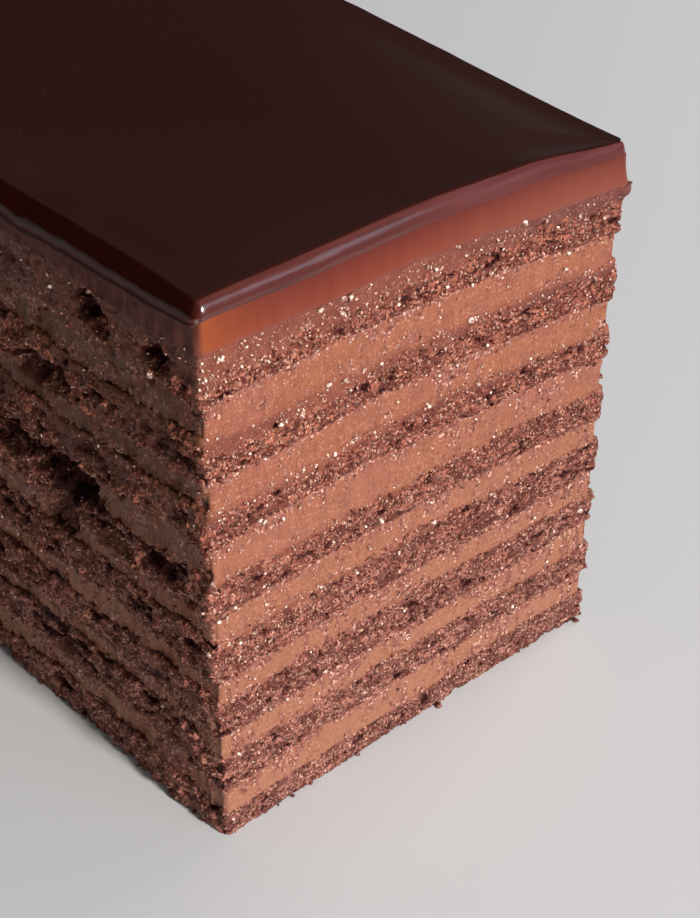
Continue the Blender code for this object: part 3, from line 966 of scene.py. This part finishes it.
def cream_material():
    """Cut chocolate cream: pale brown, streaked by the knife, gritty with crumb in places, with painted
    glints and painted shade in its pits and tears.
    """
    made, tree, shader = shader_of("cream_look")
    level = attribute(tree, "level")
    grit = attribute(tree, "grit")
    direction, first, second = facets(tree, 3000, between(tree, grit, 0, 1, 0.28, 1.1))
    crumb = mixed(tree, first, (0.070, 0.017, 0.015), (0.310, 0.112, 0.080))
    # Painted glints: a few grains of the grit coloured pale.
    crumb = mixed(tree, between(tree, second, 0.82, 0.93, 0, 0.9), crumb, (0.700, 0.410, 0.320))
    # Painted glints: small pale flecks over the cream, fewer on the torn side.
    painted_glints = between(tree, noise_at(tree, 2600, 2), 0.58, 0.68, 0, 0.6)
    painted_glints = product(tree, painted_glints, between(tree, attribute(tree, "smear_and_shade"), 0, 1, 1, 0.2))
    cream = mixed(tree, painted_glints, cream_colour(tree), (0.400, 0.200, 0.145))
    specks = between(tree, noise_at(tree, 1900, 2), 0.40, 0.32, 0, 0.55)
    cream = mixed(tree, specks, cream, (0.110, 0.032, 0.022))
    colour = mixed(tree, between(tree, grit, 0.15, 0.9, 0, 0.8), cream, crumb)
    # Painted shade: darker in pits, hollows and tears.
    colour = mixed(tree, between(tree, level, -0.12, -0.7, 0, 0.85), colour, (0.035, 0.008, 0.008))
    tree.links.new(colour, shader.inputs["Base Color"])
    shader.inputs["Specular IOR Level"].default_value = 0.16
    tree.links.new(between(tree, second, 0.5, 0.8, 0.45, 0.28), shader.inputs["Roughness"])
    tree.links.new(direction, shader.inputs["Normal"])
    return made


def ganache_material():
    """Smooth red-brown ganache with a low shine."""
    made, tree, shader = shader_of("ganache_look")
    streaks = patches_at(tree, 600, 2, (1, 1, 0.08))
    slow = patches_at(tree, 60, 2)
    colour = mixed(tree, streaks, (0.108, 0.017, 0.010), (0.126, 0.023, 0.013))
    colour = mixed(tree, part_of(tree, slow, 0.4), colour, (0.140, 0.026, 0.010))
    part = attribute(tree, "part")
    colour = mixed(tree, between(tree, part, 0.45, 0.10, 0, 0.5), colour, (0.165, 0.038, 0.021))
    colour = mixed(tree, between(tree, part, 0.45, 0.90, 0, 0.75), colour, (0.074, 0.010, 0.008))
    # Painted glow at the front left corner.
    colour = mixed(tree, attribute(tree, "painted_glow"), colour, (0.205, 0.045, 0.013))
    colour = mixed(tree, attribute(tree, "pale"), colour, (0.170, 0.050, 0.034))
    colour = mixed(tree, part_of(tree, attribute(tree, "foot"), 0.8), colour, (0.140, 0.046, 0.038))
    # Torn side: the ganache smeared darker, partly painted shade, with paler rubbed streaks that partly paint
    # a sheen.
    rubbed = between(tree, noise_at(tree, 800, 3, (1, 1, 0.16)), 0.45, 0.62, 0, 1)
    smear = mixed(tree, rubbed, (0.060, 0.016, 0.012), (0.105, 0.036, 0.030))
    colour = mixed(tree, part_of(tree, attribute(tree, "smear_and_shade"), 0.85), colour, smear)
    tree.links.new(colour, shader.inputs["Base Color"])
    rough = between(tree, attribute(tree, "smear_and_shade"), 0, 1, 0.36, 0.55)
    tree.links.new(rough, shader.inputs["Roughness"])
    shader.inputs["Specular IOR Level"].default_value = 0.16
    return made


def glaze_material():
    """Mirror glaze: almost black, with a trace of red; duller on its cut rim and where it drapes."""
    made, tree, shader = shader_of("glaze_look")
    cut = attribute(tree, "cut")
    specks = between(tree, noise_at(tree, 1400, 1), 0.76, 0.80, 0, 1)
    specked = part_of(tree, specks, 0.5)
    colour = mixed(tree, specked, (0.0215, 0.0030, 0.0014), (0.06, 0.03, 0.025))
    drag = between(tree, noise_at(tree, 900, 3, (0.06, 0.06, 1)), 0.3, 0.7, 0, 1)
    face = mixed(tree, drag, (0.036, 0.005, 0.004), (0.085, 0.021, 0.018))
    matt = attribute(tree, "matt")
    face = mixed(tree, matt, face, mixed(tree, drag, (0.070, 0.018, 0.018), (0.096, 0.030, 0.031)))
    drape = attribute(tree, "drape")
    patches = patches_at(tree, 500, 3)
    thin = mixed(tree, patches, (0.052, 0.013, 0.010), (0.084, 0.025, 0.020))
    # Painted shadow under the lip: a dark line along the thin glaze on the torn side.
    lip_shadow = between(tree, attribute(tree, "lip_shadow"), 0.1, 0.8, 0, 0.95)
    thin = mixed(tree, lip_shadow, thin, (0.010, 0.001, 0.001))
    tree.links.new(mixed(tree, drape, mixed(tree, cut, colour, face), thin), shader.inputs["Base Color"])
    dull = node(tree, "ShaderNodeMath", operation="MAXIMUM")
    tree.links.new(matt, dull.inputs[0])
    tree.links.new(part_of(tree, drape, 0.7), dull.inputs[1])
    tree.links.new(between(tree, dull.outputs[0], 0, 0.7, 0.5, 0.08), shader.inputs["Specular IOR Level"])
    rough = node(tree, "ShaderNodeMix", data_type="FLOAT")
    tree.links.new(drape, rough.inputs[0])
    tree.links.new(between(tree, cut, 0, 1, 0.05, 0.19), rough.inputs[2])
    tree.links.new(between(tree, drape, 0, 1, 0.05, 0.50), rough.inputs[3])
    tree.links.new(rough.outputs[0], shader.inputs["Roughness"])
    shader.inputs["IOR"].default_value = 1.5
    return made


def wet_material(name, dark, pale, rough):
    """Wet bead or grain that catches the light; its pale colour, where the noise picks it, is a painted
    highlight.
    """
    made, tree, shader = shader_of(name)
    highlight_share = between(tree, noise_at(tree, 1500, 2), 0.52, 0.62, 0, 1)
    tree.links.new(mixed(tree, highlight_share, dark, pale), shader.inputs["Base Color"])
    shader.inputs["Roughness"].default_value = rough
    shader.inputs["IOR"].default_value = 1.7
    return made


MATERIALS = {
    "sponge": sponge_material(),
    "cream": cream_material(),
    "ganache": ganache_material(),
    "glaze": glaze_material(),
    # The pale colours of droplets and glints are painted highlights.
    "droplets": wet_material("droplets_look", (0.20, 0.080, 0.055), (0.70, 0.55, 0.48), 0.20),
    "glints": wet_material("glints_look", (0.34, 0.160, 0.120), (0.78, 0.58, 0.51), 0.28),
}
MATERIALS["wall_crumbs"] = MATERIALS["foot_crumbs"] = MATERIALS["sponge"]


def finish_piece(body, replaced, slot):
    """Give a piece its material, hang it on the root body and hide the solid it stands for."""
    body.data.materials.append(MATERIALS[slot])
    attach(body, "root")
    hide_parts(replaced)


# Stage, lights and camera


def build_floor():
    """Plain pale floor."""
    mesh = bpy.data.meshes.new("floor")
    half = FLOOR_HALF
    corners = [(-half, -half, 0), (half, -half, 0), (half, half, 0), (-half, half, 0)]
    mesh.from_pydata(corners, [], [(0, 1, 2, 3)])
    floor = bpy.data.objects.new("floor", mesh)
    bpy.context.scene.collection.objects.link(floor)
    made, _, shader = shader_of("floor")
    shader.inputs["Base Color"].default_value = (0.545, 0.555, 0.575, 1)
    shader.inputs["Roughness"].default_value = 0.6
    mesh.materials.append(made)


def area_light(name, towards, distance, size, power, colour):
    """A soft light that looks at the block from a given direction."""
    data = bpy.data.lights.new(name, "AREA")
    data.shape = "ELLIPSE"
    data.size, data.size_y = size
    data.energy = power
    data.color = colour
    light = bpy.data.objects.new(name, data)
    direction = Vector(towards).normalized()
    light.location = Vector((0, -0.04, 0.04)) + direction * distance
    light.rotation_euler = direction.to_track_quat("Z", "Y").to_euler()
    bpy.context.scene.collection.objects.link(light)


def build_world():
    """Dim room, brighter in front of the cut face than behind it."""
    world = bpy.data.worlds.new("room")
    world.use_nodes = True
    bpy.context.scene.world = world
    tree = world.node_tree
    background = tree.nodes["Background"]
    place = node(tree, "ShaderNodeTexCoord").outputs["Generated"]
    spread = node(tree, "ShaderNodeSeparateXYZ")
    tree.links.new(place, spread.inputs[0])
    share = between(tree, spread.outputs["Y"], -1, 0.4, 1, 0)
    across = spread.outputs["X"]
    up = spread.outputs["Z"]
    behind = mixed(tree, between(tree, across, -0.2, 0.3, 0, 1), (0.012, 0.012, 0.013), (0.053, 0.053, 0.051))
    behind = mixed(tree, between(tree, up, 0.44, 0.56, 0, 1), behind, (0.108, 0.108, 0.108))
    behind = mixed(tree, between(tree, across, 0.57, 0.74, 0, 1), behind, (0.108, 0.105, 0.103))
    before = mixed(tree, between(tree, across, -0.7, 0.0, 0, 1), (0.052, 0.056, 0.052), (0.17, 0.175, 0.18))
    tree.links.new(mixed(tree, share, behind, before), background.inputs["Color"])
    background.inputs["Strength"].default_value = 1.0


def build_camera():
    """Camera at the fitted place."""
    data = bpy.data.cameras.new("camera")
    data.sensor_width = 36
    data.lens = FOCAL_PIXELS / FRAME_TALL * data.sensor_width
    data.clip_start = 0.01
    camera = bpy.data.objects.new("camera", data)
    right = Vector(CAMERA_RIGHT)
    ahead = Vector(CAMERA_AHEAD)
    heading = Matrix((right, -Vector(CAMERA_DOWN), -ahead)).transposed()
    corner = ORIGIN + Vector((-WIDTH / 2, -LENGTH / 2, 0))
    camera.matrix_world = Matrix.Translation(corner + Vector(CAMERA_FROM_CORNER)) @ heading.to_4x4()
    bpy.context.scene.collection.objects.link(camera)
    bpy.context.scene.camera = camera


def main():
    bpy.context.scene.view_settings.view_transform = "Standard"
    for layer in range(TOP - 1):
        build_layer(layer)
    build_ganache()
    build_glaze()
    build_scatter()
    build_floor()
    area_light("key", (0.0, -0.88, 0.44), 2.4, (0.37, 0.28), 92.0, (1.0, 0.95, 0.88))
    area_light("low", (-0.70, -0.55, 0.0), 0.32, (0.16, 0.04), 0.18, (0.92, 0.93, 0.80))
    area_light("window", (0.20, -0.80, 0.41), 1.1, (1.12, 0.38), 3.1, (0.75, 0.82, 1.0))
    area_light("side", (0.97, 0.05, 0.30), 0.9, (0.4, 0.3), 3.2, (1.0, 1.0, 1.0))
    build_world()
    build_camera()


main()
